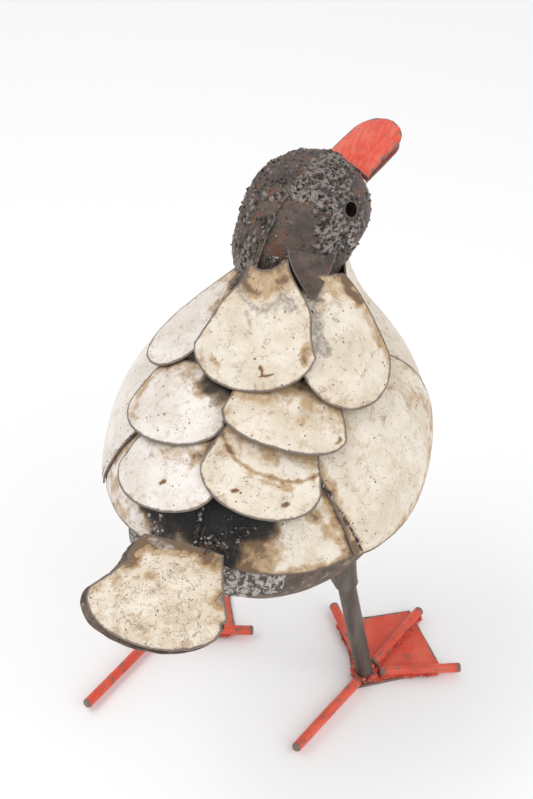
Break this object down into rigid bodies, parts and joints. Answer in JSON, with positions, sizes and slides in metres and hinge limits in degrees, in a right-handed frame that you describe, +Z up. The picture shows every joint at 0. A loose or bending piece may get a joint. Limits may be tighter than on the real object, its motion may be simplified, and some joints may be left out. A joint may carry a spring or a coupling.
{
  "type": "welded metal garden duck",
  "caption": "Standing duck figure welded from painted sheet steel: rounded plated body, overlapping feathers, rusty head, red bill, pipe legs and webbed feet.",
  "frame": {"origin": "under the middle of the bounding box, on the ground", "axes": "+Z up, -Y the way the duck's body faces, -X towards the duck's right side; the head is turned 15 degrees to the duck's right"},
  "size_m": [0.3528, 0.4732, 0.5309],
  "materials": {
    "cream_paint": "old cream gloss paint, stained yellow-brown, scratched and speckled, worn to bare steel at the edges",
    "pale_paint": "the same paint in a cooler, cleaner off-white",
    "sooty_steel": "matt black soot and burnt paint",
    "rusty_steel": "brown-grey rust, rough with weld spatter",
    "bare_steel": "satin brown-grey bare steel, slightly rusted",
    "red_paint": "thick red gloss paint, chipped to bare steel along the bars and edges"
  },
  "bodies": {
    "root": {"side_plate_right": "cream_paint", "rump_plate_right": "cream_paint", "rump_strip_right": "bare_steel", "breast_plate_right": "cream_paint", "belly_plate_right": "rusty_steel", "side_plate_left": "pale_paint", "rump_plate_left": "pale_paint", "rump_strip_left": "bare_steel", "breast_plate_left": "pale_paint", "belly_plate_left": "rusty_steel", "back_plate": "sooty_steel", "feather_shoulder_left": "pale_paint", "feather_collar": "cream_paint", "feather_shoulder_right": "cream_paint", "feather_middle_left": "pale_paint", "feather_middle_right": "cream_paint", "feather_lower_left": "pale_paint", "feather_lower_right": "cream_paint", "tail_plate": "cream_paint", "tail_under_plate": "bare_steel", "skull_right": "rusty_steel", "eye_ring_right": "bare_steel", "skull_left": "rusty_steel", "eye_ring_left": "bare_steel", "bill_upper": "red_paint", "bill_lower": "red_paint", "collar_tab_left": "bare_steel", "collar_tab_right": "bare_steel", "nape_tab": "rusty_steel", "leg_pipe_right": "bare_steel", "thigh_wrap_right": "bare_steel", "ankle_weld_right": "red_paint", "web_plate_right": "red_paint", "toe_outer_right": "red_paint", "toe_middle_right": "red_paint", "toe_inner_right": "red_paint", "toe_back_right": "red_paint", "leg_pipe_left": "bare_steel", "thigh_wrap_left": "bare_steel", "ankle_weld_left": "red_paint", "web_plate_left": "red_paint", "toe_outer_left": "red_paint", "toe_middle_left": "red_paint", "toe_inner_left": "red_paint", "toe_back_left": "red_paint"}
  },
  "joints": []
}
